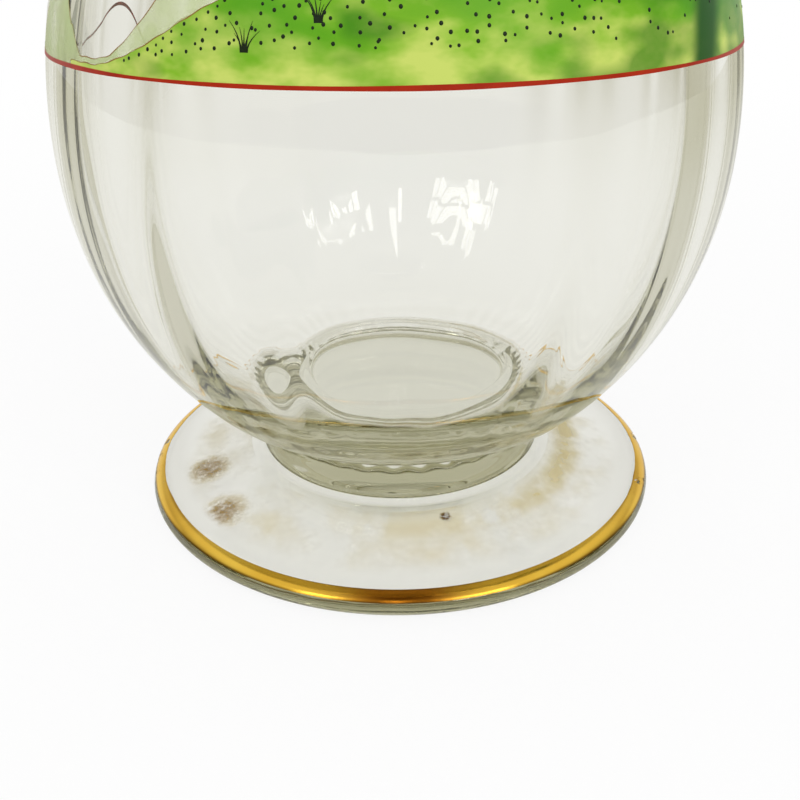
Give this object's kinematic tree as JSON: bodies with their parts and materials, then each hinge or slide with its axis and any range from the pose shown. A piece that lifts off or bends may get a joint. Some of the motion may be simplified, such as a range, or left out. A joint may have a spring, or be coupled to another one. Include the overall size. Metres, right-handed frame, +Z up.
{
  "type": "decanter",
  "caption": "Footed glass decanter with a round bowl, slender neck, flared gilt lip, painted meadow band and a lift-out ball stopper.",
  "frame": {"origin": "centre of the foot's resting ring, on the table plane", "axes": "+Z up through the mouth and stopper; the painted front faces -Y; +X to the viewer's right"},
  "size_m": [0.1018, 0.1018, 0.2455],
  "materials": {
    "clear_glass": "clear mould-blown glass with soft vertical ribs, faint grey-green tint",
    "gilding": "burnished fired gold, worn on the foot's rim",
    "red_enamel": "opaque fired red enamel, satin",
    "green_enamel": "brushed washes of translucent fired green enamel with dark green dots",
    "pale_green_enamel": "thin pale green fired enamel wash with a brown outline"
  },
  "bodies": {
    "decanter": {"foot": "clear_glass", "collar": "clear_glass", "vessel": "clear_glass", "foot_gilding": "gilding", "lip_gilding": "gilding", "red_line": "red_enamel", "meadow_enamel": "green_enamel", "hill_enamel": "pale_green_enamel"},
    "loose_stopper": {"stopper": "clear_glass", "stopper_gilding": "gilding"}
  },
  "joints": [
    {"name": "stopper_lift", "type": "slide", "parent": "decanter", "child": "loose_stopper", "axis": [0, 0, 1], "range_m": [0, 0.04]}
  ]
}
